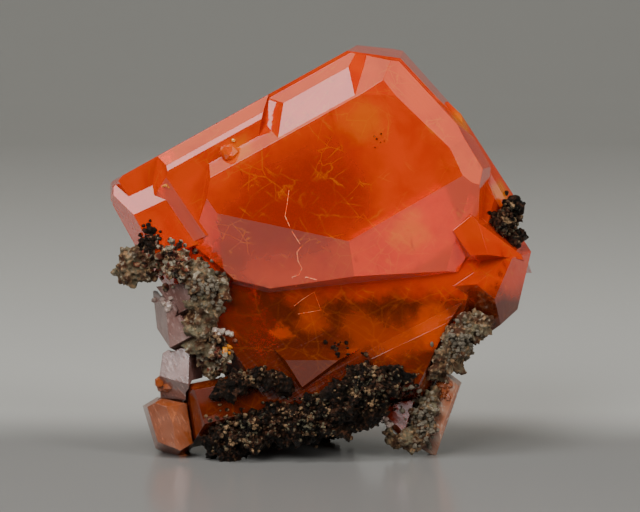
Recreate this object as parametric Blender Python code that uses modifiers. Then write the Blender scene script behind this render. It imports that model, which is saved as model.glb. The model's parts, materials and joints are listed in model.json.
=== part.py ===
"""Wulfenite specimen: a thick, tabular orange crystal group on dark gossan.

The large crystal is seen along its four-fold axis: a square tablet that has turned
about 30 degrees, so that one corner points up. It grew in steps, each with a flat front
face and a ring of bevels, which are joined here in one solid. Smaller crystals and lumps
of iron-manganese matrix hang on its lower left, bottom and right.

Lengths are in millimetres and angles in degrees. They turn to metres where a mesh is made.
The front of the specimen faces -Y, and it stands on the plane z = 0.

A crystal block has an axis that points at the viewer, turned by azimuth and raised by rise.
Its front and back faces stand square on that axis, at these distances from its centre.
Every other face is (turn, tilt, edge): its direction round the axis, counter-clockwise
from +X, its angle from the axis, and how far from the axis it meets the front face. A
face that leans to the back has a tilt over 90 and meets the back face there instead. An
edge is negative where it lies on the other side of the axis.
"""
import math

import bmesh
import bpy
from mathutils import Matrix, Vector

MM = 0.001
GAP = 0.3                # clearance between two pieces that touch
STOCK = 90.0             # rough cube that a crystal block is cut from
SQUARE = 90              # a face with a greater tilt than this leans to the back
MERGE = 0.00001          # corners closer than this are one corner (metres)
ON_PLANE = 0.00000001    # a corner this close to a cut lies on it (metres)
LUMP_SPACING = 0.8       # step from lump to lump along a run, in lump radii
SHIFT = (-0.12, -0.05)   # moves the finished specimen over the origin

# The large crystal: its growth axis, and the four sides of the square tablet.
GROWTH_CENTRE = (1.0, 0.0, 23.0)
GROWTH_RISE = 4
UPPER_LEFT = 119
UPPER_RIGHT = 25
LOWER_LEFT = 214
LOWER_RIGHT = 300

# Families of faces, by their angle from the axis.
LOW = 21                 # wide, shallow growth slopes
BRIGHT = 33              # the slopes that catch the light
PYRAMID = 38             # the usual pyramid faces
STEEP = 57               # the long bevel
SIDE = 84                # sides of the tablet, a little short of square
BACK = 138               # bevels round the back

# How far each growth step stands out from the growth centre. Each one's sides are set in a
# little from those of the step below it.
BODY_FRONT = 4.7
TERRACE_FRONT = 5.9
SHELF_FRONT = 6.9
BRIGHT_FRONT = 8.3
PLATE_FRONT = 8.4
INSET = 0.06

# Faces that every growth step shares, measured on the front of the body.
OUTLINE = dict(
    long_bevel=(UPPER_LEFT, STEEP, 14.0),
    upper_left_side=(UPPER_LEFT, 89, 14.0),
    top_side=(82, SIDE, 17.0),
    top_right_side=(43, SIDE, 16.1),
    left_end=(142, SIDE, 19.0),
    left_side=(178, SIDE, 21.5),
    lower_left_end=(209, 90, 18.1))


def growth_step(level, front, back, faces):
    """A block on the large crystal's own axis, within its outline, level steps up."""
    outline = {name: (turn, tilt, edge - level * INSET)
               for name, (turn, tilt, edge) in OUTLINE.items()}
    return dict(centre=GROWTH_CENTRE, azimuth=0, rise=GROWTH_RISE, front=front, back=back,
                outline=outline, faces=faces)


def own_block(centre, azimuth, rise, front, back, faces):
    """A block with an axis and an outline of its own."""
    return dict(centre=centre, azimuth=azimuth, rise=rise, front=front, back=back,
                outline={}, faces=faces)


MAIN_BODY = growth_step(0, BODY_FRONT, 7.0, dict(
    right_bevel=(30, STEEP, 15.2),
    right_side=(24, SIDE, 15.8),
    right_corner=(345, 60, 15.0),
    right_end=(355, 90, 18.4),
    lower_right_corner=(322, 80, 16.6),
    lower_right_side=(304, 76, 15.8),
    bottom=(262, SIDE, 18.8),
    lower_left_side=(LOWER_LEFT, 65, 15.0),
    back_upper_left=(UPPER_LEFT, BACK, 10.5),
    back_upper_right=(UPPER_RIGHT, BACK, 11.5),
    back_lower_left=(LOWER_LEFT, BACK, 10.0),
    back_lower_right=(LOWER_RIGHT, BACK, 12.0)))

FRONT_PLATE = growth_step(3, PLATE_FRONT, -3.0, dict(
    fluted_step=(UPPER_LEFT, 50, 9.6),
    top_bevel=(88, 8, 12.7),
    top_right_bevel=(46, PYRAMID, 13.4),
    right_bevel=(UPPER_RIGHT, PYRAMID, 13.7),
    right_side=(30, 76, 15.2),
    lower_right_bevel=(LOWER_RIGHT, LOW, 2.4),
    lower_right_corner=(320, BRIGHT, 7.4),
    corner_right_side=(354, 76, 13.9),
    corner_lower_side=(331, 76, 12.5),
    lower_bevel=(258, LOW, 1.3),
    lower_left_bevel=(LOWER_LEFT, PYRAMID, 8.6),
    left_corner=(170, 75, 12.3),
    step_right=(276, 72, 5.0),
    step_middle=(256, 72, 6.9),
    step_left=(228, 72, 9.7)))

BRIGHT_STEP = growth_step(2, BRIGHT_FRONT, 0.5, dict(
    bright_bevel=(UPPER_LEFT, BRIGHT, 9.6),
    steep_bevel=(UPPER_LEFT, STEEP, 11.3),
    dark_end=(146, 50, 8.8),
    right_end=(60, 40, 11.9),
    right_side=(10, 70, 5.0),
    lower_side=(LOWER_RIGHT, SIDE, -4.0),
    lower_left_side=(LOWER_LEFT, SIDE, 1.0)))

LEFT_SHELF = growth_step(1, SHELF_FRONT, 1.5, dict(
    bright_strip=(UPPER_LEFT, BRIGHT, 12.2),
    left_bevel=(170, 60, 16.6),
    lower_left_bevel=(LOWER_LEFT, PYRAMID, 10.8),
    lower_left_side=(209, 62, 15.0),
    lower_side=(290, SIDE, -3.0),
    right_side=(350, SIDE, -8.4)))

LEFT_TERRACE = growth_step(1.5, TERRACE_FRONT, 2.0, dict(
    bright_end=(115, BRIGHT, 8.9),
    lower_left_side=(209, 62, 16.5),
    lower_side=(290, SIDE, -2.5),
    right_side=(350, SIDE, -6.0)))

RIGHT_BLOCK = own_block((17.0, 0.0, 18.0), 12, 6, 6.0, 1.5, dict(
    right_bevel=(335, 42, 0.1),
    right_side=(348, 90, 2.7),
    lower_side=(308, SIDE, 3.9),
    top=(90, 72, 1.3),
    upper_left_bevel=(129, 60, 0.9),
    left_bevel=(230, 55, 2.8)))

RIGHT_SHOULDER = own_block((16.0, 0.0, 21.5), 0, GROWTH_RISE, 7.0, 1.5, dict(
    bright_bevel=(16, PYRAMID, 0.0),
    right_side=(20, SIDE, 2.8),
    upper_right_side=(46, 75, 0.8),
    lower_side=(272, 75, 1.6),
    left_side=(215, 75, 2.0),
    upper_side=(130, 60, 2.5)))

REAR_CRYSTAL = own_block((14.0, 1.0, 29.0), 20, 10, 3.5, 3.0, dict(
    top_bevel=(110, 40, 3.5),
    top_side=(95, SIDE, 5.7),
    right_bevel=(28, 48, 0.8),
    right_side=(34, SIDE, 1.8),
    lower_right_side=(5, SIDE, 4.3),
    bottom=(290, 60, 6.0),
    left_side=(200, 70, 5.0)))

LOWER_RIGHT_BLOCK = own_block((9.5, -2.0, 10.5), -5, 10, 4.7, 1.5, dict(
    dusky_bevel=(116, PYRAMID, 0.6),
    step=(113, 75, 1.9),
    right_side=(335, 75, 2.2),
    bottom=(275, 70, 4.0),
    left_side=(195, 60, 4.2)))

LOWER_TIP = own_block((-1.0, -2.0, 10.5), 0, 0, 4.3, 0.5, dict(
    top=(90, 35, -0.6),
    left_side=(212, 60, 2.4),
    right_side=(307, 60, 2.2)))

LEDGE = own_block((-8.0, -2.0, 6.0), 8, 14, 4.1, 3.0, dict(
    top_bevel=(100, 50, 0.8),
    top=(100, SIDE, 1.5),
    right_side=(350, 70, 5.4),
    bottom=(283, 60, 2.4),
    under=(283, SIDE, 3.2),
    left_bevel=(195, 60, 4.8),
    left_side=(190, SIDE, 5.3)))

LARGE_CRYSTAL = (MAIN_BODY, FRONT_PLATE, BRIGHT_STEP, LEFT_SHELF, LEFT_TERRACE, RIGHT_BLOCK,
                 RIGHT_SHOULDER, REAR_CRYSTAL, LOWER_RIGHT_BLOCK, LOWER_TIP, LEDGE)

# The small crystals, one block each.
UPPER_PLATE = own_block((-14.0, -4.0, 16.5), -25, 10, 0.9, 1.4, dict(
    top=(100, SIDE, 0.6),
    left_side=(225, 75, 1.3),
    right_side=(20, SIDE, 2.2),
    lower_side=(LOWER_RIGHT, 75, 2.3)))

MIDDLE_PLATE = own_block((-14.5, -4.0, 13.5), -18, 8, 1.6, 1.5, dict(
    left_bevel=(189, 48, 0.1),
    left_side=(190, SIDE, 1.8),
    lower_left_side=(225, SIDE, 1.7),
    right_side=(31, SIDE, 1.4),
    top=(74, SIDE, 1.8),
    lower_side=(299, SIDE, 2.5)))

PALE_PLATE = own_block((-14.5, -4.0, 8.5), -15, 16, 1.9, 1.8, dict(
    lower_bevel=(257, 46, 1.0),
    lower_side=(265, SIDE, 2.6),
    upper_left_side=(124, SIDE, 1.6),
    top=(82, SIDE, 2.2),
    left_side=(176, SIDE, 0.8),
    right_side=(2, SIDE, 2.1)))

LOWER_LEFT_CRYSTAL = own_block((-14.7, -3.0, 3.0), 6, 12, 3.4, 2.0, dict(
    left_bevel=(200, PYRAMID, 0.2),
    right_bevel=(340, LOW, -0.1),
    left_side=(196, 88, 2.0),
    lower_left_side=(243, SIDE, 2.2),
    lower_side=(301, SIDE, 2.6),
    lower_right_side=(325, SIDE, 2.8),
    right_side=(8, 88, 2.9),
    upper_left_side=(121, SIDE, 2.6),
    top_bevel=(98, 48, 1.6),
    top=(95, SIDE, 2.4)))

RIGHT_TABLET = own_block((12.0, -4.0, 4.0), 0, 0, 1.4, 1.4, dict(
    pale_face=(155, 30, -0.3),
    rim=(341, 50, 0.4),
    right_side=(341, SIDE, 0.7),
    upper_right_side=(52, SIDE, 3.5),
    top=(100, SIDE, 4.0),
    left_side=(170, SIDE, 1.6),
    orange_face=(228, PYRAMID, 1.2),
    lower_left_side=(240, SIDE, 3.7)))

INNER_CRYSTAL = own_block((7.5, -3.5, 4.0), -10, 12, 1.5, 1.3, dict(
    lower_left_bevel=(230, 45, 0.6),
    lower_left_side=(230, SIDE, 1.1),
    right_side=(345, SIDE, 1.6),
    top=(95, SIDE, 1.6),
    left_side=(175, SIDE, 1.2)))

# Matrix: each mass is a few runs of lumps that melt into each other. A run goes from
# point to point, each (x, y, z, radius of the lumps there).
BOTTOM_BAR = (
    ((-9.5, -6.4, 1.9, 2.0), (-6.0, -6.5, 3.2, 2.0), (-1.5, -6.8, 3.9, 2.1), (1.5, -6.9, 5.2, 2.2),
     (4.0, -6.9, 7.3, 2.1), (6.6, -6.8, 8.0, 1.6), (9.0, -6.5, 8.4, 1.0)),
    ((1.5, -6.8, 4.4, 2.0), (5.0, -6.6, 5.3, 1.8)),
    ((-4.6, -4.6, 2.6, 1.6), (2.6, -4.8, 4.2, 1.6)))

LEDGE_CRUST = (
    ((-9.7, -6.6, 6.8, 0.8), (-7.4, -6.9, 7.8, 0.9), (-5.0, -6.9, 8.2, 0.9), (-3.2, -6.5, 7.0, 0.8)),)

LEFT_RIB = (
    ((-15.9, -5.0, 21.3, 1.3), (-17.1, -4.6, 20.0, 1.2), (-18.6, -4.2, 18.9, 1.7)),
    ((-15.0, -5.1, 20.4, 1.3), (-12.5, -5.5, 18.6, 1.5), (-10.7, -5.9, 17.3, 1.7),
     (-11.7, -5.3, 14.5, 1.5), (-11.0, -5.4, 11.2, 1.7), (-10.4, -5.0, 9.3, 1.2)),
    ((-13.0, -3.8, 18.2, 1.4), (-12.0, -3.6, 14.6, 1.5), (-12.0, -3.6, 12.2, 1.5)))

RIGHT_RIB = (
    ((10.2, -5.8, 8.9, 1.3), (12.3, -5.5, 10.8, 1.8), (14.1, -5.3, 12.4, 1.7), (15.9, -5.0, 13.2, 1.4)),
    ((11.4, -4.5, 8.7, 1.4), (13.0, -4.2, 10.0, 1.5)))

LOWER_RIGHT_LUMP = (
    ((7.0, -4.6, 2.1, 0.9), (9.4, -4.7, 2.1, 1.4), (10.4, -4.8, 2.9, 1.3)),
    ((10.2, -4.9, 4.2, 1.3), (10.6, -4.9, 5.6, 1.3), (11.5, -4.6, 6.3, 1.0)))

OXIDE_PATCH = (
    ((17.8, -4.3, 22.2, 1.1), (17.7, -4.4, 23.4, 1.0), (19.0, -3.5, 24.5, 1.0)),
    ((18.7, -3.9, 22.4, 1.1), (19.6, -2.8, 21.5, 0.9)))

REAR_MATRIX = (
    ((-6.2, 0.5, 3.6, 1.8), (-4.8, 5.4, 1.8, 2.4), (-3.4, 6.6, 4.8, 2.4), (-2.0, 7.4, 8.4, 1.9)),
    ((1.2, 0.5, 3.8, 1.7), (-0.6, 5.8, 1.6, 2.2), (2.2, 6.8, 4.4, 2.1), (1.4, 7.3, 7.0, 1.9)),
    ((-6.2, 0.5, 3.6, 1.8), (1.2, 0.5, 3.8, 1.7)),
    ((-5.6, 6.8, 6.2, 1.8), (3.2, 7.0, 5.6, 1.7)))

# Kinds of rock: the cell of the mesh that melts the lumps, the size and height of the
# knobs, and the share of the triangles that is kept.
COARSE = dict(cell=0.42, knob=1.5, relief=1.7, share=0.36)
FINE = dict(cell=0.30, knob=0.8, relief=0.7, share=0.45)
BULKY = dict(cell=0.60, knob=1.6, relief=1.2, share=0.45)

# Finishes: (colour, roughness, transmission).
ORANGE_CRYSTAL = ((0.86, 0.16, 0.01), 0.08, 0.6)
DUSKY_CRYSTAL = ((0.42, 0.20, 0.14), 0.15, 0.3)
BLACK_OXIDE = ((0.015, 0.012, 0.010), 0.75, 0.0)
GREY_GOSSAN = ((0.12, 0.10, 0.075), 0.85, 0.0)
BROWN_GOSSAN = ((0.07, 0.045, 0.028), 0.85, 0.0)


def finish(name, colour, roughness, transmission):
    """A plain Principled material."""
    material = bpy.data.materials.new(name)
    material.use_nodes = True
    shader = material.node_tree.nodes["Principled BSDF"]
    shader.inputs["Base Color"].default_value = (*colour, 1.0)
    shader.inputs["Roughness"].default_value = roughness
    shader.inputs["Metallic"].default_value = 0.0
    shader.inputs["Transmission Weight"].default_value = transmission
    material.diffuse_color = (*colour, 1.0)
    return material


def add_object(name, mesh, collection):
    """A new object that shows the mesh."""
    piece = bpy.data.objects.new(name, mesh)
    collection.objects.link(piece)
    return piece


def block_planes(block):
    """The outward direction and the distance from the centre of each face of a block."""
    azimuth = math.radians(block["azimuth"])
    rise = math.radians(block["rise"])
    axis = Vector((math.sin(azimuth) * math.cos(rise),
                   -math.cos(azimuth) * math.cos(rise), math.sin(rise)))
    across = Vector((math.cos(azimuth), math.sin(azimuth), 0.0))
    up = axis.cross(across)
    planes = [(axis, block["front"]), (-axis, block["back"])]
    measured = [(face, BODY_FRONT) for face in block["outline"].values()]
    for face in block["faces"].values():
        leans_back = face[1] > SQUARE
        measured.append((face, -block["back"] if leans_back else block["front"]))
    for (turn, tilt, edge), depth in measured:
        turn = math.radians(turn)
        tilt = math.radians(tilt)
        sideways = math.cos(turn) * across + math.sin(turn) * up
        normal = math.cos(tilt) * axis + math.sin(tilt) * sideways
        planes.append((normal, edge * math.sin(tilt) + depth * math.cos(tilt)))
    return planes


def cut_with_plane(bm, point, normal):
    """Cuts away what lies past the plane and closes the cut."""
    geometry = bm.verts[:] + bm.edges[:] + bm.faces[:]
    cut = bmesh.ops.bisect_plane(bm, geom=geometry, dist=ON_PLANE, plane_co=point,
                                 plane_no=normal, clear_outer=True)
    rim = [item for item in cut["geom_cut"] if isinstance(item, bmesh.types.BMEdge)]
    if rim:
        bmesh.ops.edgeloop_fill(bm, edges=rim)


def block_mesh(name, block, grow=0.0):
    """A crystal block: a cube with one cut for each face, or the same grown all round."""
    centre = Vector(block["centre"]) * MM
    bm = bmesh.new()
    bmesh.ops.create_cube(bm, size=STOCK * MM, matrix=Matrix.Translation(centre))
    for normal, reach in block_planes(block):
        cut_with_plane(bm, centre + normal * (reach + grow) * MM, normal)
    bmesh.ops.remove_doubles(bm, verts=bm.verts[:], dist=MERGE)
    bmesh.ops.recalc_face_normals(bm, faces=bm.faces[:])
    mesh = bpy.data.meshes.new(name)
    bm.to_mesh(mesh)
    bm.free()
    return mesh


def replace_mesh(piece):
    """Keeps what the piece's modifiers show as its mesh."""
    graph = bpy.context.evaluated_depsgraph_get()
    graph.update()
    shaped = bpy.data.meshes.new_from_object(piece.evaluated_get(graph))
    old = piece.data
    piece.modifiers.clear()
    piece.data = shaped
    shaped.name = piece.name
    if old.users == 0:
        bpy.data.meshes.remove(old)


def remove(piece):
    """Removes a helper and its mesh."""
    mesh = piece.data
    bpy.data.objects.remove(piece)
    if mesh.users == 0:
        bpy.data.meshes.remove(mesh)


def apply_boolean(piece, tool, operation):
    """Joins the tool to the piece or cuts it away, and removes the tool."""
    modifier = piece.modifiers.new(operation.title(), "BOOLEAN")
    modifier.operation = operation
    modifier.object = tool
    replace_mesh(piece)
    remove(tool)


def bounds(piece):
    """Lowest and highest corner of a piece, in metres."""
    places = [vertex.co for vertex in piece.data.vertices]
    low = Vector([min(place[axis] for place in places) for axis in range(3)])
    high = Vector([max(place[axis] for place in places) for axis in range(3)])
    return low, high


def near(piece, tool):
    """True where the two boxes meet."""
    low, high = bounds(piece)
    tool_low, tool_high = bounds(tool)
    return all(low[axis] < tool_high[axis] and tool_low[axis] < high[axis] for axis in range(3))


def clear_of(piece, blocks, collection):
    """Cuts a gap into the piece wherever a crystal block comes close."""
    for block in blocks:
        tool = add_object("grown_block", block_mesh("grown_block", block, GAP), collection)
        if near(piece, tool):
            apply_boolean(piece, tool, "DIFFERENCE")
        else:
            remove(tool)


def keep_largest(piece):
    """Merges corners that meet, and keeps the largest body of the mesh."""
    bm = bmesh.new()
    bm.from_mesh(piece.data)
    bmesh.ops.remove_doubles(bm, verts=bm.verts[:], dist=MERGE)
    bmesh.ops.triangulate(bm, faces=bm.faces[:])
    unseen = set(bm.faces)
    bodies = []
    while unseen:
        body = []
        front = [unseen.pop()]
        while front:
            face = front.pop()
            body.append(face)
            for edge in face.edges:
                for other in edge.link_faces:
                    if other in unseen:
                        unseen.remove(other)
                        front.append(other)
        bodies.append(body)
    bodies.sort(key=lambda body: sum(face.calc_area() for face in body))
    for body in bodies[:-1]:
        bmesh.ops.delete(bm, geom=body, context="FACES")
    loose = [vertex for vertex in bm.verts if not vertex.link_faces]
    bmesh.ops.delete(bm, geom=loose, context="VERTS")
    bmesh.ops.recalc_face_normals(bm, faces=bm.faces[:])
    bm.to_mesh(piece.data)
    bm.free()


def trim_at_floor(piece, collection):
    """Cuts a piece flat where it would go below the floor."""
    low, _ = bounds(piece)
    if low.z < 0:
        bm = bmesh.new()
        below = Matrix.Translation(Vector((0, 0, -STOCK / 2)) * MM)
        bmesh.ops.create_cube(bm, size=STOCK * MM, matrix=below)
        mesh = bpy.data.meshes.new("floor_block")
        bm.to_mesh(mesh)
        bm.free()
        apply_boolean(piece, add_object("floor_block", mesh, collection), "DIFFERENCE")
    keep_largest(piece)


def set_material(piece, material):
    """Gives the piece its one material."""
    piece.data.materials.clear()
    piece.data.materials.append(material)


def crystal(name, blocks, material, collection, neighbours=()):
    """A crystal of one or more blocks, cut back where it would touch its neighbours."""
    piece = add_object(name, block_mesh(name, blocks[0]), collection)
    for block in blocks[1:]:
        tool = add_object("block", block_mesh("block", block), collection)
        apply_boolean(piece, tool, "UNION")
    clear_of(piece, neighbours, collection)
    trim_at_floor(piece, collection)
    set_material(piece, material)
    return piece


def lumps_along(run):
    """Lumps from one end of a run to the other, close enough to melt together."""
    lumps = [run[0]]
    for start, end in zip(run, run[1:]):
        length = math.dist(start[:3], end[:3])
        count = math.ceil(length / (LUMP_SPACING * min(start[3], end[3])))
        for step in range(1, count + 1):
            share = step / count
            lumps.append(tuple(a + (b - a) * share for a, b in zip(start, end)))
    return lumps


def matrix_mass(name, runs, material, collection, neighbours, rock):
    """Rough rock: lumps melted together, made knobbly, and cut back from the crystals."""
    bm = bmesh.new()
    for run in runs:
        for x, y, z, radius in lumps_along(run):
            bmesh.ops.create_icosphere(bm, subdivisions=2, radius=radius * MM,
                                       matrix=Matrix.Translation(Vector((x, y, z)) * MM))
    mesh = bpy.data.meshes.new(name)
    bm.to_mesh(mesh)
    bm.free()
    piece = add_object(name, mesh, collection)
    melt = piece.modifiers.new("Melt", "REMESH")
    melt.mode = "VOXEL"
    melt.voxel_size = rock["cell"] * MM
    knobs = bpy.data.textures.new(name + "_knobs", "CLOUDS")
    knobs.noise_scale = rock["knob"] * MM
    knobs.noise_depth = 2
    swell = piece.modifiers.new("Knobs", "DISPLACE")
    swell.texture = knobs
    swell.texture_coords = "GLOBAL"
    swell.strength = rock["relief"] * MM
    swell.mid_level = 0.5
    heal = piece.modifiers.new("Heal", "REMESH")
    heal.mode = "VOXEL"
    heal.voxel_size = rock["cell"] * MM
    thin = piece.modifiers.new("Thin", "DECIMATE")
    thin.ratio = rock["share"]
    replace_mesh(piece)
    clear_of(piece, neighbours, collection)
    trim_at_floor(piece, collection)
    set_material(piece, material)
    return piece


def build():
    """Makes the specimen."""
    for item in list(bpy.data.objects):
        bpy.data.objects.remove(item)
    specimen = bpy.data.collections.new("wulfenite_specimen")
    bpy.context.scene.collection.children.link(specimen)

    orange = finish("orange_wulfenite", *ORANGE_CRYSTAL)
    dusky = finish("dusky_wulfenite", *DUSKY_CRYSTAL)
    black = finish("black_oxide", *BLACK_OXIDE)
    grey = finish("grey_gossan", *GREY_GOSSAN)
    brown = finish("brown_gossan", *BROWN_GOSSAN)

    pieces = [crystal("main_crystal", LARGE_CRYSTAL, orange, specimen)]
    small = (
        ("left_upper_crystal", UPPER_PLATE, dusky),
        ("left_middle_crystal", MIDDLE_PLATE, dusky),
        ("left_pale_crystal", PALE_PLATE, dusky),
        ("lower_left_crystal", LOWER_LEFT_CRYSTAL, orange),
        ("right_tablet_crystal", RIGHT_TABLET, orange),
        ("inner_red_crystal", INNER_CRYSTAL, orange))
    placed = LARGE_CRYSTAL
    for name, block, material in small:
        pieces.append(crystal(name, (block,), material, specimen, placed))
        placed += (block,)

    masses = (
        ("bottom_matrix", BOTTOM_BAR, black, COARSE),
        ("ledge_crust", LEDGE_CRUST, black, FINE),
        ("left_matrix", LEFT_RIB, grey, COARSE),
        ("right_matrix", RIGHT_RIB, grey, COARSE),
        ("lower_right_matrix", LOWER_RIGHT_LUMP, grey, COARSE),
        ("right_oxide_patch", OXIDE_PATCH, black, FINE),
        ("rear_matrix", REAR_MATRIX, brown, BULKY))
    for name, runs, material, rock in masses:
        pieces.append(matrix_mass(name, runs, material, specimen, placed, rock))

    for piece in pieces:
        piece.data.transform(Matrix.Translation(Vector((*SHIFT, 0.0)) * MM))


build()
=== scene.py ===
"""Wulfenite specimen: a thick orange crystal group with a dark, knobbly matrix.

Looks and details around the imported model: polished crystals, crusts of iron and manganese
oxide, loose grains, a healed crack, and a small studio. Lengths are in metres.
"""
import json
import math
import random

import bpy
from bpy.props import FloatProperty, FloatVectorProperty, IntProperty, PointerProperty
from mathutils import Matrix, Vector

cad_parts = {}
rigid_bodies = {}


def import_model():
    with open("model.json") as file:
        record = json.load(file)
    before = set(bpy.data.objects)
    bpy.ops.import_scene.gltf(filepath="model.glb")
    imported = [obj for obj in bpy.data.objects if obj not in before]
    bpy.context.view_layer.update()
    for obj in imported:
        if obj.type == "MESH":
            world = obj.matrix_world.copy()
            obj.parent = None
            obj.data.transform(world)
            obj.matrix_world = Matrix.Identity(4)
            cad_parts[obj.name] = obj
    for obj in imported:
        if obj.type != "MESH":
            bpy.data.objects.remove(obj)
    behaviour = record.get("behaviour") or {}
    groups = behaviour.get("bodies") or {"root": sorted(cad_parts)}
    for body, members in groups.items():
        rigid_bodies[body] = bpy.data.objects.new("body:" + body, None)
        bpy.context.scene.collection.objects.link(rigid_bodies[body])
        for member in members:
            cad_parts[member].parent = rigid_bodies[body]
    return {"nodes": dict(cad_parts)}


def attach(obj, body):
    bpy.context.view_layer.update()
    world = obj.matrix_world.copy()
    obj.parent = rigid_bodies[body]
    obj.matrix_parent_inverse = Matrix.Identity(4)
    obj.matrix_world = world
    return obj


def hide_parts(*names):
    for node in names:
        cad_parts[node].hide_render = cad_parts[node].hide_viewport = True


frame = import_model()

bl_info = {
    "name": "Wulfenite specimen",
    "version": (1, 0, 0),
    "blender": (4, 5, 0),
    "location": "3D View > Sidebar > Specimen",
    "description": "Dresses the packed wulfenite specimen and sets up its studio",
    "category": "Object",
}

MM = 0.001

# The photograph's size in pixels, the camera's sensor in mm, and its nearest view in metres.
PHOTO_WIDTH = 640
PHOTO_HEIGHT = 512
SENSOR = 36.0
NEAREST_VIEW = 0.01

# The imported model's triangles are loose: corners closer than this are one.
MERGE = 0.000001
# Triangles of a crystal that differ less than this in slope are one face, and edges between
# faces that differ more than the second angle are worn.
SAME_FACE = math.radians(0.5)
SHARP_EDGE = math.radians(6)
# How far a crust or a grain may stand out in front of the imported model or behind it.
REACH = 0.45 * MM

CRYSTALS = ("main_crystal", "left_upper_crystal", "left_middle_crystal", "left_pale_crystal",
            "lower_left_crystal", "right_tablet_crystal", "inner_red_crystal")

# Thin seams on the crystal's front: their radius in mm, and the places that they join. Places
# are in the photograph's pixels here and below: each is cast on to the piece that shows there.
SEAMS = (
    ("crack", 0.04, ((289, 190), (287, 205), (285, 216), (289, 225), (293, 233), (300, 244))),
    ("crack_knot", 0.05, ((301, 247), (297, 252), (298, 261), (302, 268), (299, 275), (292, 277),
                          (296, 286), (306, 277), (317, 280))),
    ("growth_figure", 0.02, ((294, 306), (303, 299), (314, 292), (321, 310), (310, 312),
                             (298, 314))))

# Clouds in the large crystal: what they are, where they show in the photograph, the radius
# of their core and of their rim in mm, and their strength. The glow patches are painted light:
# light that comes up through the base, painted into the crystal's colour.
CLOUDS = (
    ("deep", (318, 190), 1.5, 8.5, 0.95),
    ("deep", (262, 222), 1.5, 7.0, 0.9),
    ("deep", (300, 235), 1.0, 4.5, 0.5),
    ("smoky", (224, 262), 0.5, 3.0, 0.5),
    ("honey", (362, 122), 0.6, 3.0, 0.4),
    ("honey", (414, 232), 0.6, 2.6, 0.6),
    ("honey", (240, 152), 0.3, 1.8, 0.5),
    ("honey", (462, 124), 0.8, 2.4, 0.9),
    ("honey", (503, 194), 0.8, 2.2, 0.9),
    ("smoky", (240, 305), 1.5, 4.5, 0.95),
    ("smoky", (503, 272), 0.2, 1.0, 0.6),
    ("smoky", (497, 292), 0.2, 1.0, 0.6),
    ("smoky", (490, 305), 0.1, 0.8, 0.5),
    # Painted light: glow patches where light comes up through the base.
    ("painted_glow", (311, 312), 0.5, 2.6, 0.7),
    ("painted_glow", (282, 327), 0.3, 1.2, 0.6),
    ("painted_glow", (360, 330), 0.8, 3.2, 0.5),
    ("painted_glow", (398, 336), 0.8, 3.4, 0.5),
    ("painted_glow", (432, 322), 0.8, 3.0, 0.9))

# Top of the smoky base and half the height of its soft edge, in mm, and the shares of the
# clearness and of the veils that are left in it.
SMOKE_TOP = 16.6
SMOKE_SOFTNESS = 1.6
SMOKY_CLEARNESS = 0.3
SMOKY_VEILS = 0.15

# How far the outlines of the clouds and of the veils wander, in mm.
CLOUD_WANDER = 5.0
VEIL_WANDER = 0.8

# Wisps of veil: their width in mm, their turn in degrees, where they start and are full in
# the noise, their strength and colour. They are so many times as long as wide.
VEILS = (
    (0.5, 38, (0.58, 0.74), 0.5, "honey"),
    (0.35, -40, (0.60, 0.76), 0.45, "honey"),
    (0.8, 70, (0.58, 0.76), 0.6, "deep"),
    (0.5, 20, (0.60, 0.76), 0.5, "rich"))
VEIL_STRETCH = 6.0

# Healed fractures: width of a cell in mm, turn in degrees, and half the thickness of the
# line as a share of the cell. The cells are so many times as long as wide.
FRACTURES = ((3.2, 35, 0.018), (1.9, -50, 0.02))
FRACTURE_STRETCH = 2.2
FRACTURE_STRENGTH = 0.35

# Refractive index of wulfenite: close to that of diamond.
WULFENITE_IOR = 2.3

# Growth lines on the faces of the large crystal: their width in mm, how many times as long
# they are, and their turn in degrees on the faces that look left and on those that look right.
LINE_WIDTH = 0.4
LINE_STRETCH = 16.0
LINE_TURNS = (-29, 52)

# Relief of the crusts: each pattern's strength in mm, and the level of it that stays in place.
RELIEF = (("knobs", 3.0, 0.48), ("grains", -0.4, 0.4), ("fine_grains", 0.35, 0.5))
FINENESS = 0.7

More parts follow.
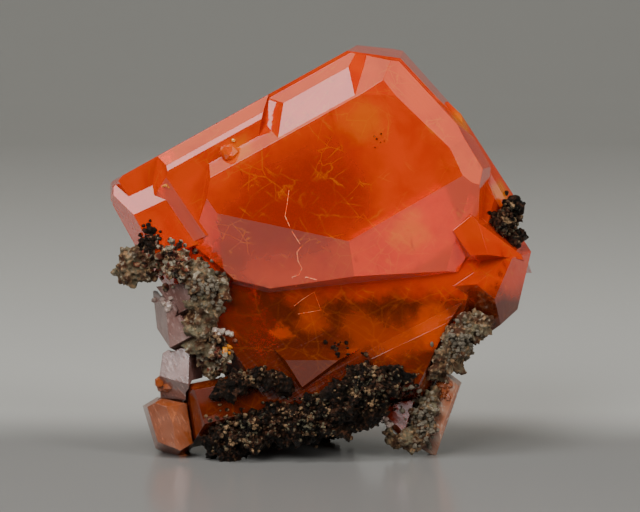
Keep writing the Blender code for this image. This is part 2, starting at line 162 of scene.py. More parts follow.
# Loose grains: material, (middle, spread) in photograph pixels, how many, and radii in mm.
CRUMBS = (
    ("pinkish_crumbs", "rusty_crumbs", (168, 262), (20, 20), 150, (0.16, 0.45)),
    ("cap_crumbs", "manganese_oxide", (149, 240), (11, 14), 60, (0.15, 0.40)),
    ("chunk_crumbs", "grey_gossan", (207, 285), (20, 22), 60, (0.12, 0.32)),
    ("rib_crumbs", "rusty_crumbs", (217, 352), (11, 18), 60, (0.14, 0.42)),
    ("seam_specks", "manganese_oxide", (338, 350), (16, 14), 16, (0.08, 0.24)),
    ("patch_crumbs", "dark_crumbs", (508, 221), (12, 18), 90, (0.12, 0.34)),
    ("bar_left_crumbs", "dark_crumbs", (240, 430), (30, 20), 200, (0.08, 0.28)),
    ("bar_middle_crumbs", "dark_crumbs", (305, 420), (40, 22), 220, (0.08, 0.28)),
    ("bar_right_crumbs", "dark_crumbs", (375, 390), (34, 24), 220, (0.08, 0.28)),
    ("right_rib_crumbs", "grey_gossan", (461, 343), (16, 18), 80, (0.10, 0.30)),
    ("lower_lump_crumbs", "grey_gossan", (422, 420), (14, 28), 90, (0.10, 0.32)),
    ("ledge_crumbs", "dark_crumbs", (250, 376), (28, 8), 60, (0.10, 0.26)),
    ("black_ball", "manganese_oxide", (220, 342), (1, 1), 1, (0.55, 0.60)),
    ("dark_specks", "manganese_oxide", (379, 140), (8, 10), 6, (0.05, 0.13)),
    ("middle_chips", "pale_wulfenite", (165, 303), (10, 6), 16, (0.18, 0.42)),
    ("tab_chips", "pale_wulfenite", (221, 333), (9, 4), 10, (0.18, 0.45)),
    ("cream_chips", "pale_wulfenite", (388, 421), (8, 7), 14, (0.18, 0.45)),
    ("amber_chips", "amber_wulfenite", (158, 390), (9, 9), 16, (0.25, 0.60)),
    ("golden_chips", "golden_wulfenite_and_glints", (224, 350), (6, 5), 8, (0.20, 0.45)),
    ("lump_chips", "amber_wulfenite", (444, 388), (8, 10), 12, (0.20, 0.50)),
    # Painted glints: these golden grains stand in for yellow glints on the crystal.
    ("upper_sparks", "golden_wulfenite_and_glints", (233, 151), (5, 6), 5, (0.12, 0.26)),
    ("lower_sparks", "golden_wulfenite_and_glints", (167, 186), (5, 3), 4, (0.10, 0.20)),
    ("hillock", "clear_wulfenite", (231, 154), (1, 1), 1, (0.90, 0.95)))

# Shapes of grain to choose from, how far a corner strays as a share of the radius, how flat
# the flattest grain is, and how far a grain's middle stands out of what carries it.
GRAIN_SHAPES = 4
GRAIN_ROUGHNESS = 0.3
FLATTEST = 0.6
GRAIN_LIFT = 0.2

# Studio lights: direction from the specimen, distance, width and height in metres, radiance,
# tint, and whether the faces mirror them.
LIGHTS = (
    ("key_light", (-0.45, -0.38, 0.81), 0.5, 0.26, 0.22, 2.4, "FFFFFF", True),
    ("top_light", (-0.46, 0.43, 0.77), 0.5, 0.3, 0.24, 1.0, "FFE0C0", True),
    ("right_light", (0.81, -0.22, 0.55), 0.5, 0.2, 0.26, 0.9, "FFDCBC", True),
    ("front_fill", (-0.35, -0.8, 0.5), 0.6, 0.3, 0.3, 12.0, "FFFFFF", False),
    ("right_fill", (0.7, -0.6, 0.4), 0.6, 0.2, 0.3, 13.0, "FFFFFF", False),
    ("upper_fill", (-0.2, -0.3, 0.93), 0.6, 0.2, 0.2, 16.0, "FFFFFF", False))
LIGHT_CENTRE = (0, 0, 0.02)

# The paper sweep, in metres: its width, where it starts, where it bends up, the radius of the
# bend, and its height over the bend. The bend is drawn in so many steps.
SWEEP_WIDTH = 2.4
SWEEP_FRONT = -1.0
SWEEP_BEND = 0.42
BEND_RADIUS = 0.5
SWEEP_RISE = 0.6
BEND_STEPS = 32

# Where the paper turns from the floor's grey to the bright one, and on to the backdrop's, in mm.
# The bright band is a painted pool of light, and the backdrop's duller grey up the curve is
# painted shade, where less light falls.
BRIGHT_EDGES = (2.0, 28.0)
BACKDROP_EDGES = (60.0, 460.0)


def linear(code):
    """An sRGB hex colour as linear red, green and blue."""
    channels = [int(code[start:start + 2], 16) / 255 for start in (0, 2, 4)]
    return tuple(value / 12.92 if value <= 0.04045 else ((value + 0.055) / 1.055) ** 2.4
                 for value in channels)


def colour(name, description, code):
    """A colour setting with an sRGB hex default."""
    return FloatVectorProperty(name=name, description=description, subtype="COLOR", size=3,
                               min=0.0, max=1.0, default=linear(code))


def length(name, description, millimetres):
    """A length setting with a default in millimetres."""
    return FloatProperty(name=name, description=description, unit="LENGTH",
                         default=millimetres * MM, precision=5)


class WulfeniteCrystalSettings(bpy.types.PropertyGroup):
    """Colours and edges of the crystals."""
    clear: colour("Clear orange", "The clear, bright part of the large crystal", "FF4C06")
    rich: colour("Rich orange", "Clouds in the bright part", "F03C03")
    deep: colour("Deep orange", "The thick part of the large crystal", "B02C04")
    smoky: colour("Smoky red", "The dark lower part of the large crystal", "5A1B03")
    # Painted light: the colour of the light that comes up through the base of the large crystal.
    painted_glow: colour("Glow", "Patches where light comes up through the base", "B84008")
    # The golden sparks include grains that stand in for yellow glints, so honey and gold are
    # partly painted glints.
    honey: colour("Honey", "Light veils and clouds, and the body of the golden sparks", "FF8A14")
    gold: colour("Gold", "Pale streaks in the golden sparks", "FFDC60")
    dusky: colour("Dusky pink", "The cloudy plates at the left", "82584F")
    frosted: colour("Frosted pink", "Pale streaks in the cloudy plates", "B4948C")
    amber: colour("Amber", "The small glassy crystals", "A04C1E")
    peach: colour("Peach", "The tablet at the right, and streaks in the amber ones", "C07858")
    cream: colour("Cream", "Pale streaks in the tablet and in the pale chips", "E4D2BC")
    healed: colour("Healed crack", "Pale filling of the healed crack", "F0A078")
    edge: length("Edge", "Width of the worn edge between two faces", 0.05)
    density: FloatProperty(name="Absorption", default=110.0, min=0.0,
                           description="Absorption of the clear crystal, per metre")
    clearness: FloatProperty(name="Clearness", default=0.5, min=0.0, max=1.0, subtype="FACTOR",
                             description="Share of light that the clear part lets in")


class WulfeniteMatrixSettings(bpy.types.PropertyGroup):
    """Grain and colours of the matrix."""
    black: colour("Black oxide", "Manganese oxide in the shade", "0C0A08")
    dark: colour("Dark crust", "Body of the oxide crust", "1A120C")
    brown: colour("Brown oxide", "Iron oxide grains", "42291C")
    tan: colour("Tan grains", "Pale limonite grains", "8A6E50")
    olive: colour("Olive grey", "Grey-green gossan", "645E4A")
    grey: colour("Pale grey", "Palest grains of the gossan", "9A907C")
    rust: colour("Rust", "Reddish crumbs by the crystals", "6E3426")
    cell: length("Mesh cell", "Mesh cell of the crust", 0.1)
    knob: length("Knob", "Width of the knobs", 1.1)
    grain: length("Grain", "Width of the single grains", 0.36)
    seed: IntProperty(name="Seed", description="Start of the random places", default=7)


class WulfeniteStageSettings(bpy.types.PropertyGroup):
    """Camera, paper and room."""
    elevation: FloatProperty(name="Elevation", description="Height of the camera over the level",
                             subtype="ANGLE", default=math.radians(6.0))
    lens: FloatProperty(name="Lens", description="Focal length in millimetres", default=200.0,
                        unit="CAMERA")
    distance: length("Distance", "From the camera to the target", 355.56)
    target: FloatVectorProperty(name="Target", description="What the camera looks at",
                                subtype="XYZ", size=3, default=(-0.00012, -0.00005, 0.01954))
    floor: colour("Floor", "Grey glazed paper under the specimen", "7E7D7A")
    # Painted light: a pool of light painted on the paper just behind the specimen.
    painted_glow: colour("Bright paper", "Paper just behind the specimen", "C4C4BE")
    # Painted shade: the paper painted duller far up the curve, where less light falls.
    backdrop: colour("Backdrop", "Paper far up the curve", "B4B4AE")
    room: colour("Room", "Dark room round the studio", "202020")


def select_only(piece):
    """Makes a piece the one selected and active object."""
    bpy.ops.object.select_all(action="DESELECT")
    piece.select_set(True)
    bpy.context.view_layer.objects.active = piece


def merged_copy(node, name):
    """A copy of a CAD node with its loose triangles merged."""
    piece = bpy.data.objects.new(name, frame["nodes"][node].data.copy())
    bpy.context.scene.collection.objects.link(piece)
    piece.data.name = name
    select_only(piece)
    bpy.ops.object.mode_set(mode="EDIT")
    bpy.ops.mesh.select_all(action="SELECT")
    bpy.ops.mesh.remove_doubles(threshold=MERGE)
    bpy.ops.object.mode_set(mode="OBJECT")
    return piece


def apply_modifier(piece, kind, **settings):
    """Adds a modifier with its settings and applies it."""
    select_only(piece)
    modifier = piece.modifiers.new(kind.title(), kind)
    for setting, value in settings.items():
        setattr(modifier, setting, value)
    bpy.ops.object.modifier_apply(modifier=modifier.name)


def join(pieces, name):
    """Joins pieces into the first one."""
    select_only(pieces[0])
    for piece in pieces:
        piece.select_set(True)
    bpy.ops.object.join()
    pieces[0].name = name
    pieces[0].data.name = name
    return pieces[0]


def set_material(piece, material):
    """Gives a piece its one material."""
    piece.data.materials.clear()
    piece.data.materials.append(material)


def depth_limits():
    """How far to the front and to the back a crust or a grain may reach."""
    ends = [vertex.co.y for node in frame["nodes"].values() if node.type == "MESH"
            for vertex in node.data.vertices]
    return min(ends) - REACH, max(ends) + REACH


def keep_within(piece, front, back):
    """Presses in what stands too far to the front or the back, or below the floor."""
    for vertex in piece.data.vertices:
        vertex.co.y = min(max(vertex.co.y, front), back)
        vertex.co.z = max(vertex.co.z, 0.0)


def camera_place(stage):
    """The camera's matrix, from its target, elevation and distance."""
    tilt = Matrix.Rotation(math.radians(90) - stage.elevation, 4, "X")
    return Matrix.Translation(Vector(stage.target)) @ tilt @ Matrix.Translation(
        (0, 0, stage.distance))


def seen(place, pieces, stage):
    """Where a place of the photograph falls on the nearest of the pieces, and the normal."""
    camera = camera_place(stage)
    focal = stage.lens / SENSOR * PHOTO_WIDTH
    ray = Vector((place[0] - PHOTO_WIDTH / 2, PHOTO_HEIGHT / 2 - place[1], -focal))
    start = camera.to_translation()
    direction = (camera.to_3x3() @ ray).normalized()
    nearest = None
    for piece in pieces:
        hit, point, normal, _ = piece.ray_cast(start, direction)
        if hit and (nearest is None or (point - start).length < (nearest[0] - start).length):
            nearest = (point.copy(), normal.copy())
    return nearest


def set_inputs(tree, node, inputs):
    """Sets sockets of a node, each to a value or a link."""
    for name, value in inputs.items():
        socket = node.inputs[name]
        if isinstance(value, bpy.types.NodeSocket):
            tree.links.new(value, socket)
        elif socket.type == "RGBA":
            socket.default_value = (*value, 1.0)
        else:
            socket.default_value = value


def add_node(tree, kind, inputs=None, **settings):
    """Adds a node with its settings, values and links."""
    node = tree.nodes.new(kind)
    for setting, value in settings.items():
        setattr(node, setting, value)
    set_inputs(tree, node, inputs or {})
    return node


def new_material(name):
    """A material with an empty Principled shader, its tree, and object coordinates in mm."""
    material = bpy.data.materials.new(name)
    material.use_nodes = True
    tree = material.node_tree
    place = add_node(tree, "ShaderNodeTexCoord").outputs["Object"]
    scaled = add_node(tree, "ShaderNodeMapping", {"Vector": place, "Scale": (1 / MM,) * 3})
    return material, tree, tree.nodes["Principled BSDF"], scaled.outputs["Vector"]


def lay_over(tree, base, tint, value, edges, most=1.0):
    """Lays a tint over a base: none where a value is at the first edge, most at the second."""
    amount = add_node(tree, "ShaderNodeMapRange",
                      {"Value": value, "From Min": edges[0], "From Max": edges[1],
                       "To Max": most}, interpolation_type="SMOOTHSTEP")
    mixed = add_node(tree, "ShaderNodeMix",
                     {0: amount.outputs["Result"], 6: base, 7: tint}, data_type="RGBA")
    return mixed.outputs[2]


def blotched(tree, base, tint, place, width, edges, detail=3.0, distortion=0.0):
    """Lays a tint over a base in soft blotches about so many millimetres wide."""
    cloud = add_node(tree, "ShaderNodeTexNoise",
                     {"Vector": place, "Scale": 1 / width, "Detail": detail,
                      "Distortion": distortion})
    return lay_over(tree, base, tint, cloud.outputs["Fac"], edges)


def streaks(tree, place, width, times, turn, detail=2.0):
    """Streaks of noise: their width in mm, times as long, and turned down to the right."""
    drawn_out = add_node(tree, "ShaderNodeMapping",
                         {"Vector": place, "Scale": (times, 1.0, 1.0),
                          "Rotation": (0.0, math.radians(turn), 0.0)}, vector_type="TEXTURE")
    return add_node(tree, "ShaderNodeTexNoise",
                    {"Vector": drawn_out.outputs["Vector"], "Scale": 1 / width,
                     "Detail": detail}).outputs["Fac"]


def growth_lines(tree, place):
    """Growth lines that run one way on faces that look left and another on the rest."""
    facing = add_node(tree, "ShaderNodeSeparateXYZ",
                      {0: add_node(tree, "ShaderNodeTexCoord").outputs["Normal"]})
    rightward = add_node(tree, "ShaderNodeMapRange",
                         {"Value": facing.outputs["X"], "From Min": -0.05, "From Max": 0.05},
                         interpolation_type="SMOOTHSTEP")
    rising, falling = (streaks(tree, place, LINE_WIDTH, LINE_STRETCH, turn)
                       for turn in LINE_TURNS)
    return add_node(tree, "ShaderNodeMix",
                    {0: rightward.outputs["Result"], 2: rising, 3: falling},
                    data_type="FLOAT").outputs[0]


# Wulfenite, lead molybdate: a heavy, soft crystal with a very high index, so its faces
# shine like diamond and its colour comes from deep inside. Its real growth lines are finer
# than a tenth of a millimetre, and are drawn coarser here so that they show.
def clear_wulfenite(settings, carriers, stage):
    """The large orange crystal: clear at its rim, cloudy and smoky below."""
    material, tree, shader, place = new_material("clear_wulfenite")
    wander = add_node(tree, "ShaderNodeTexNoise",
                      {"Vector": place, "Scale": 0.3, "Detail": 4.0, "Roughness": 0.6})
    around = add_node(tree, "ShaderNodeVectorMath",
                      {0: wander.outputs["Color"], 1: (CLOUD_WANDER,) * 3, 2: place},
                      operation="MULTIPLY_ADD").outputs["Vector"]
    around = add_node(tree, "ShaderNodeVectorMath", {0: around, 1: (CLOUD_WANDER / 2,) * 3},
                      operation="SUBTRACT").outputs["Vector"]
    gentle = add_node(tree, "ShaderNodeVectorMath",
                      {0: wander.outputs["Color"], 1: (VEIL_WANDER,) * 3, 2: place},
                      operation="MULTIPLY_ADD").outputs["Vector"]

    height = add_node(tree, "ShaderNodeSeparateXYZ", {0: around}).outputs["Z"]
    murk = add_node(tree, "ShaderNodeMapRange",
                    {"Value": height, "From Min": SMOKE_TOP + SMOKE_SOFTNESS,
                     "From Max": SMOKE_TOP - SMOKE_SOFTNESS},
                    interpolation_type="SMOOTHSTEP").outputs["Result"]
    base = blotched(tree, settings.clear, settings.rich, place, 4.0, (0.4, 0.7), 5.0, 0.8)
    base = add_node(tree, "ShaderNodeMix", {0: murk, 6: base, 7: settings.smoky},
                    data_type="RGBA").outputs[2]
    # Each cloud, and each painted glow patch of light from below, is laid over the base colour.
    for tint, spot, inner, outer, strength in CLOUDS:
        middle = seen(spot, carriers, stage)[0] / MM
        distance = add_node(tree, "ShaderNodeVectorMath", {0: around, 1: tuple(middle)},
                            operation="DISTANCE").outputs["Value"]
        base = lay_over(tree, base, getattr(settings, tint), distance, (outer, inner), strength)

    spread = add_node(tree, "ShaderNodeTexNoise",
                      {"Vector": place, "Scale": 1 / 3.0, "Detail": 2.0}).outputs["Fac"]
    patches = add_node(tree, "ShaderNodeMapRange",
                       {"Value": spread, "From Min": 0.42, "From Max": 0.6},
                       interpolation_type="SMOOTHSTEP").outputs["Result"]
    patches = add_node(tree, "ShaderNodeMapRange",
                       {"Value": murk, "To Min": patches, "To Max": SMOKY_VEILS})
    for width, turn, edges, strength, tint in VEILS:
        wisps = streaks(tree, gentle, width, VEIL_STRETCH, turn, 5.0)
        most = add_node(tree, "ShaderNodeMath", {0: patches.outputs["Result"], 1: strength},
                        operation="MULTIPLY").outputs["Value"]
        base = lay_over(tree, base, getattr(settings, tint), wisps, edges, most)
    faint = add_node(tree, "ShaderNodeMath",
                     {0: patches.outputs["Result"], 1: FRACTURE_STRENGTH},
                     operation="MULTIPLY").outputs["Value"]
    for width, turn, thickness in FRACTURES:
        drawn_out = add_node(tree, "ShaderNodeMapping",
                             {"Vector": gentle, "Scale": (FRACTURE_STRETCH, 1.0, 1.0),
                              "Rotation": (0.0, math.radians(turn), 0.0)},
                             vector_type="TEXTURE")
        cells = add_node(tree, "ShaderNodeTexVoronoi",
                         {"Vector": drawn_out.outputs["Vector"], "Scale": 1 / width},
                         feature="DISTANCE_TO_EDGE").outputs["Distance"]
        base = lay_over(tree, base, settings.honey, cells, (thickness, 0.0), faint)

    clearness = add_node(tree, "ShaderNodeMapRange",
                         {"Value": murk, "To Min": settings.clearness,
                          "To Max": settings.clearness * SMOKY_CLEARNESS})
    bump = add_node(tree, "ShaderNodeBump", {"Height": growth_lines(tree, place),
                                             "Strength": 0.25, "Distance": 0.06 * MM})
    absorb = add_node(tree, "ShaderNodeVolumeAbsorption",
                      {"Color": settings.clear, "Density": settings.density})
    set_inputs(tree, shader, {"Base Color": base, "Normal": bump.outputs["Normal"],
                              "Transmission Weight": clearness.outputs["Result"],
                              "Roughness": 0.07, "IOR": WULFENITE_IOR})
    set_inputs(tree, tree.nodes["Material Output"], {"Volume": absorb.outputs["Volume"]})
    return material


# Smaller crystals are full of growth lines and fine flaws, which the eye sees as a silky
# sheen. The lines are drawn 0.25 mm wide, coarser than real ones, so that they show.
def cloudy_wulfenite(name, body, pale, roughness):
    """A small, cloudy crystal: body colour with pale streaks."""
    material, tree, shader, place = new_material(name)
    lines = streaks(tree, place, 0.25, 14.0, 60)
    base = blotched(tree, body, pale, place, 2.4, (0.3, 0.9))
    base = lay_over(tree, base, pale, lines, (0.52, 0.75))
    bump = add_node(tree, "ShaderNodeBump",
                    {"Height": lines, "Strength": 0.3, "Distance": 0.08 * MM})
    set_inputs(tree, shader, {"Base Color": base, "Normal": bump.outputs["Normal"],
                              "Transmission Weight": 0.45, "Roughness": roughness,
                              "IOR": WULFENITE_IOR})
    return material


# Manganese and iron oxides: dull knobbly crusts whose single grains catch a little light.
# The dust on them is drawn about 0.1 mm wide, coarser than it is, so that it shows.
def gossan(name, settings, shade, body, grains, pale, pale_share):
    """Granular crust: shade in the hollows, body colour, and grains of two other colours."""
    material, tree, shader, place = new_material(name)
    base = blotched(tree, shade, body, place, 1.5, (0.4, 0.62), 5.0)
    base = blotched(tree, base, grains, place, 0.5, (0.5, 0.66), 5.0, 0.6)
    base = blotched(tree, base, pale, place, 0.8, (0.68 - pale_share, 0.80 - pale_share),
                    6.0, 0.3)
    grain = add_node(tree, "ShaderNodeTexVoronoi",
                     {"Vector": place, "Scale": MM / settings.grain})
    pick = add_node(tree, "ShaderNodeSeparateColor", {0: grain.outputs["Color"]})
    single = add_node(tree, "ShaderNodeMath", {0: pick.outputs["Red"], 1: 0.5},
                      operation="MULTIPLY").outputs["Value"]
    base = add_node(tree, "ShaderNodeMix", {0: single, 6: base, 7: shade},
                    data_type="RGBA").outputs[2]
    rough = add_node(tree, "ShaderNodeMapRange",
                     {"Value": pick.outputs["Blue"], "To Min": 0.45, "To Max": 0.95})
    dust = add_node(tree, "ShaderNodeTexNoise",
                    {"Vector": place, "Scale": 1 / 0.09, "Detail": 4.0}).outputs["Fac"]
    bump = add_node(tree, "ShaderNodeBump",
                    {"Height": dust, "Strength": 0.6, "Distance": 0.08 * MM})
    set_inputs(tree, shader, {"Base Color": base, "Roughness": rough.outputs["Result"],
                              "Normal": bump.outputs["Normal"]})
    return material


# A healed crack is filled with fine mineral dust, which scatters light and looks pale.
def healed_crack(settings):
    """Pale filling of the crack, speckled with the crystal's own orange."""
    material, tree, shader, place = new_material("healed_crack")
    base = blotched(tree, settings.clear, settings.healed, place, 0.3, (0.4, 0.6))
    set_inputs(tree, shader, {"Base Color": base, "Roughness": 0.5})
    return material


# Glazed paper: matt pulp under a smooth coat, which mirrors the foot of the specimen.
def glazed_paper(stage):
    """Grey paper with painted light: a painted pool of light just behind the specimen, and
    painted shade up the curve.
    """
    material, tree, shader, place = new_material("glazed_paper")
    parts = add_node(tree, "ShaderNodeSeparateXYZ", {0: place})
    along = add_node(tree, "ShaderNodeMath", {0: parts.outputs["Y"], 1: parts.outputs["Z"]},
                     operation="ADD").outputs["Value"]
    # Painted light and shade: a bright band just behind the specimen, then duller up the curve.
    base = lay_over(tree, stage.floor, stage.painted_glow, along, BRIGHT_EDGES)
    base = lay_over(tree, base, stage.backdrop, along, BACKDROP_EDGES)
    set_inputs(tree, shader, {"Base Color": base, "Roughness": 0.18})
    return material


class WULFENITE_OT_crystals(bpy.types.Operator):
    """Polish the crystals and give them their colours"""
    bl_idname = "wulfenite.crystals"
    bl_label = "Crystals"

    def execute(self, context):
        settings = context.scene.wulfenite_crystal
        clear = clear_wulfenite(settings, [frame["nodes"]["main_crystal"]],
                                context.scene.wulfenite_stage)
        dusky = cloudy_wulfenite("cloudy_wulfenite", settings.dusky, settings.frosted, 0.16)
        amber = cloudy_wulfenite("amber_wulfenite", settings.amber, settings.peach, 0.1)
        peach = cloudy_wulfenite("peach_wulfenite", settings.peach, settings.cream, 0.1)
        red = cloudy_wulfenite("red_wulfenite", settings.smoky, settings.deep, 0.2)
        finishes = dict(zip(CRYSTALS, (clear, dusky, dusky, dusky, amber, peach, red)))
        for node, finish in finishes.items():
            piece = merged_copy(node, node + "_polished")
            bpy.ops.object.mode_set(mode="EDIT")
            bpy.ops.mesh.select_all(action="SELECT")
            bpy.ops.mesh.dissolve_limited(angle_limit=SAME_FACE)
            bpy.ops.object.mode_set(mode="OBJECT")
            apply_modifier(piece, "BEVEL", width=settings.edge, segments=1,
                           limit_method="ANGLE", angle_limit=SHARP_EDGE)
            apply_modifier(piece, "TRIANGULATE")
            set_material(piece, finish)
            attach(piece, "root")
            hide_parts(node)
        return {"FINISHED"}


class WULFENITE_OT_crusts(bpy.types.Operator):
    """Grow the granular crusts over the lumps of matrix"""
    bl_idname = "wulfenite.crusts"
    bl_label = "Crusts"

    def execute(self, context):
        settings = context.scene.wulfenite_matrix
        black = gossan("manganese_oxide", settings, settings.black, settings.dark,
                       settings.brown, settings.tan, 0.06)
        grey = gossan("grey_gossan", settings, settings.brown, settings.olive,
                      settings.tan, settings.grey, 0.12)
        brown = gossan("brown_gossan", settings, settings.black, settings.brown,
                       settings.tan, settings.grey, 0.08)
        crusts = {
            "bottom_matrix": black, "ledge_crust": black, "right_oxide_patch": black,
            "left_matrix": grey, "right_matrix": grey, "lower_right_matrix": grey,
            "rear_matrix": brown}
        knobs = bpy.data.textures.new("knobs", "CLOUDS")
        knobs.noise_scale = settings.knob
        knobs.noise_depth = 3
        grains = bpy.data.textures.new("grains", "VORONOI")
        grains.noise_scale = settings.grain
        fine = bpy.data.textures.new("fine_grains", "CLOUDS")
        fine.noise_scale = settings.grain * FINENESS
        fine.noise_depth = 2
        front, back = depth_limits()
        for node, finish in crusts.items():
            piece = merged_copy(node, node + "_crusted")
            apply_modifier(piece, "REMESH", mode="VOXEL", voxel_size=settings.cell)
            for pattern, strength, level in RELIEF:
                apply_modifier(piece, "DISPLACE", texture=bpy.data.textures[pattern],
                               texture_coords="GLOBAL", strength=strength * MM,
                               mid_level=level)
            apply_modifier(piece, "REMESH", mode="VOXEL", voxel_size=settings.cell)
            keep_within(piece, front, back)
            set_material(piece, finish)
            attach(piece, "root")
            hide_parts(node)
        context.view_layer.update()
        return {"FINISHED"}


def grain_mesh(seed):
    """One rough grain of unit radius, coarser or finer by turns."""
    bpy.ops.mesh.primitive_ico_sphere_add(subdivisions=1 + seed % 2, radius=1.0)
    grain = bpy.context.object
    bpy.ops.object.mode_set(mode="EDIT")
    bpy.ops.mesh.select_all(action="SELECT")
    bpy.ops.transform.vertex_random(offset=GRAIN_ROUGHNESS, seed=seed)
    bpy.ops.object.mode_set(mode="OBJECT")
    mesh = grain.data
    bpy.data.objects.remove(grain)
    return mesh


def grains_at(name, spots, shapes, chance):
    """Grains at (point, normal, radius), each turned its own way, joined in one piece."""
    pieces = []
    for number, (point, normal, radius) in enumerate(spots):
        piece = bpy.data.objects.new(f"{name}_{number}", chance.choice(shapes).copy())
        bpy.context.scene.collection.objects.link(piece)
        turn = Matrix.Rotation(chance.uniform(0, math.tau), 4, "X") @ Matrix.Rotation(
            chance.uniform(0, math.tau), 4, "Z")
        squeeze = Matrix.Diagonal((1.0, chance.uniform(FLATTEST, 1.0),
                                   chance.uniform(FLATTEST, 1.0), 1.0))
        middle = point + normal * radius * GRAIN_LIFT
        piece.data.transform(Matrix.Translation(middle) @ turn @ squeeze
                             @ Matrix.Scale(radius, 4))
        pieces.append(piece)
    return join(pieces, name)


class WULFENITE_OT_crumbs(bpy.types.Operator):
    """Scatter loose grains where the crystals meet the matrix"""
    bl_idname = "wulfenite.crumbs"
    bl_label = "Crumbs"

    def execute(self, context):
        settings = context.scene.wulfenite_matrix
        crystal = context.scene.wulfenite_crystal
        stage = context.scene.wulfenite_stage
        chance = random.Random(settings.seed)
        shapes = [grain_mesh(seed) for seed in range(GRAIN_SHAPES)]
        carriers = [item for item in bpy.data.objects
                    if item.name.endswith(("_polished", "_crusted"))]
        gossan("rusty_crumbs", settings, settings.black, settings.rust, settings.tan,
               settings.grey, 0.18)
        gossan("dark_crumbs", settings, settings.black, settings.brown, settings.olive,
               settings.tan, 0.15)
        cloudy_wulfenite("pale_wulfenite", crystal.frosted, crystal.cream, 0.2)
        # Golden grains: real chips, and grains that stand in for yellow glints, which are painted
        # glints.
        cloudy_wulfenite("golden_wulfenite_and_glints", crystal.honey, crystal.gold, 0.1)
        front, back = depth_limits()
        for name, finish, middle, spread, count, radii in CRUMBS:
            spots = []
            for _ in range(count):
                place = [chance.gauss(centre, reach / 2) for centre, reach in zip(middle, spread)]
                found = seen(place, carriers, stage)
                if found:
                    spots.append((*found, chance.uniform(*radii) * MM))
            if not spots:
                raise RuntimeError(f"nothing carries {name}")
            piece = grains_at(name, spots, shapes, chance)
            keep_within(piece, front, back)
            set_material(piece, bpy.data.materials[finish])
            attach(piece, "root")
        return {"FINISHED"}


def seam(name, places, carriers, stage, radius):
    """A thin seam that follows places of the photograph over the crystal."""
    curve = bpy.data.curves.new(name, "CURVE")
    curve.dimensions = "3D"
    curve.bevel_depth = radius
    curve.bevel_resolution = 1
    curve.use_fill_caps = True
    spline = curve.splines.new("POLY")
    points = [seen(place, carriers, stage)[0] for place in places]
    spline.points.add(len(points) - 1)
    for node, point in zip(spline.points, points):
        node.co = (*point, 1.0)
    piece = bpy.data.objects.new(name, curve)
    bpy.context.scene.collection.objects.link(piece)
    select_only(piece)
    bpy.ops.object.convert(target="MESH")
    return piece


class WULFENITE_OT_cracks(bpy.types.Operator):
    """Draw the healed crack and the growth figure on the front face"""
    bl_idname = "wulfenite.cracks"
    bl_label = "Cracks"

    def execute(self, context):
        stage = context.scene.wulfenite_stage
        material = healed_crack(context.scene.wulfenite_crystal)
        carriers = [bpy.data.objects["main_crystal_polished"]]
        for name, radius, places in SEAMS:
            piece = seam(name, places, carriers, stage, radius * MM)
            set_material(piece, material)
            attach(piece, "root")
        return {"FINISHED"}


def soft_box(name, direction, distance, width, height, radiance, tint, shows):
    """A studio light that faces the specimen; shows is false where no face mirrors it."""
    light = bpy.data.lights.new(name, "AREA")
    light.shape = "RECTANGLE"
    light.size = width
    light.size_y = height
    light.energy = radiance * math.pi * width * height
    light.color = linear(tint)
    lamp = bpy.data.objects.new(name, light)
    bpy.context.scene.collection.objects.link(lamp)
    place = Vector(direction).normalized() * distance + Vector(LIGHT_CENTRE)
    facing = Vector(direction).to_track_quat("Z", "Y").to_matrix().to_4x4()
    lamp.matrix_world = Matrix.Translation(place) @ facing
    lamp.visible_glossy = shows
    lamp.visible_camera = False


def paper_sweep():
    """A sheet of paper that lies flat under the specimen and curves up behind it."""
    bpy.ops.object.select_all(action="DESELECT")
    bpy.ops.mesh.primitive_plane_add(size=1.0)
    sweep = bpy.context.object
    sweep.name = "paper_sweep"
    bpy.ops.object.mode_set(mode="EDIT")
    bpy.ops.transform.resize(value=(SWEEP_WIDTH, SWEEP_BEND - SWEEP_FRONT, 1))
    bpy.ops.transform.translate(value=(0, (SWEEP_BEND + SWEEP_FRONT) / 2, 0))
    bpy.ops.object.mode_set(mode="OBJECT")
    for item in (*sweep.data.polygons, *sweep.data.vertices):
        item.select = False
    for edge in sweep.data.edges:
        edge.select = all(sweep.data.vertices[end].co.y > 0 for end in edge.vertices)
    bpy.ops.object.mode_set(mode="EDIT")
    bpy.ops.mesh.select_mode(type="EDGE")
    for step in range(1, BEND_STEPS + 1):
        start, end = (math.radians(90) * place / BEND_STEPS for place in (step - 1, step))
        across = BEND_RADIUS * (math.sin(end) - math.sin(start))
        rise = BEND_RADIUS * (math.cos(start) - math.cos(end))
        bpy.ops.mesh.extrude_edges_move(TRANSFORM_OT_translate={"value": (0, across, rise)})
    bpy.ops.mesh.extrude_edges_move(TRANSFORM_OT_translate={"value": (0, 0, SWEEP_RISE)})
    bpy.ops.mesh.select_all(action="SELECT")
    bpy.ops.mesh.faces_shade_smooth()
    bpy.ops.object.mode_set(mode="OBJECT")
    return sweep


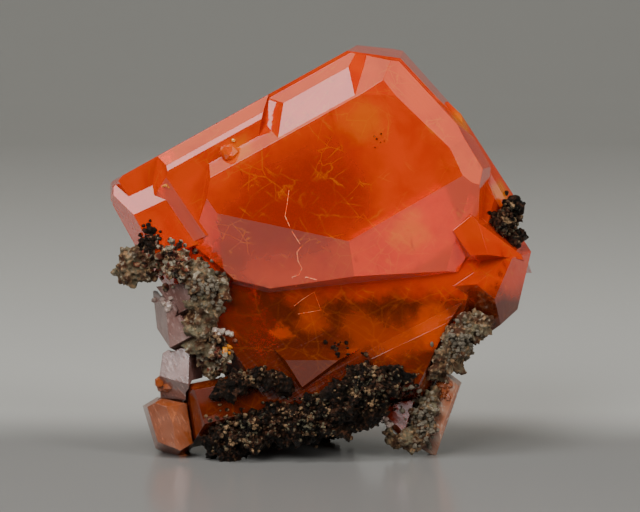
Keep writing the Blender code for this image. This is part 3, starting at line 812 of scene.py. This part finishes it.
class WULFENITE_OT_stage(bpy.types.Operator):
    """Set up the table, backdrop, lights and camera"""
    bl_idname = "wulfenite.stage"
    bl_label = "Stage"

    def execute(self, context):
        stage = context.scene.wulfenite_stage
        sweep = paper_sweep()
        set_material(sweep, glazed_paper(stage))

        for light in LIGHTS:
            soft_box(*light)
        world = bpy.data.worlds.new("studio")
        world.use_nodes = True
        set_inputs(world.node_tree, world.node_tree.nodes["Background"], {"Color": stage.room})
        context.scene.world = world

        lens = bpy.data.cameras.new("camera")
        lens.lens = stage.lens
        lens.sensor_width = SENSOR
        lens.clip_start = NEAREST_VIEW
        camera = bpy.data.objects.new("camera", lens)
        context.scene.collection.objects.link(camera)
        camera.matrix_world = camera_place(stage)
        context.scene.camera = camera
        return {"FINISHED"}


class WULFENITE_PT_panel(bpy.types.Panel):
    """Lists the steps that dress the specimen"""
    bl_idname = "WULFENITE_PT_panel"
    bl_label = "Wulfenite specimen"
    bl_space_type = "VIEW_3D"
    bl_region_type = "UI"
    bl_category = "Specimen"

    def draw(self, context):
        for step in STEPS:
            self.layout.operator(step.bl_idname)


GROUPS = {
    "wulfenite_crystal": WulfeniteCrystalSettings,
    "wulfenite_matrix": WulfeniteMatrixSettings,
    "wulfenite_stage": WulfeniteStageSettings,
}
STEPS = (WULFENITE_OT_crystals, WULFENITE_OT_crusts, WULFENITE_OT_crumbs, WULFENITE_OT_cracks,
         WULFENITE_OT_stage)


def register():
    """Registers the settings, the steps and the panel."""
    for name, group in GROUPS.items():
        bpy.utils.register_class(group)
        setattr(bpy.types.Scene, name, PointerProperty(type=group))
    for item in (*STEPS, WULFENITE_PT_panel):
        bpy.utils.register_class(item)


def unregister():
    """Takes the panel, the steps and the settings back."""
    for item in (WULFENITE_PT_panel, *reversed(STEPS)):
        bpy.utils.unregister_class(item)
    for name, group in GROUPS.items():
        delattr(bpy.types.Scene, name)
        bpy.utils.unregister_class(group)


def main():
    """Runs every step."""
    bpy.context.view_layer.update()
    register()
    bpy.ops.wulfenite.crystals()
    bpy.ops.wulfenite.crusts()
    bpy.ops.wulfenite.crumbs()
    bpy.ops.wulfenite.cracks()
    bpy.ops.wulfenite.stage()


if __name__ == "__main__":
    main()
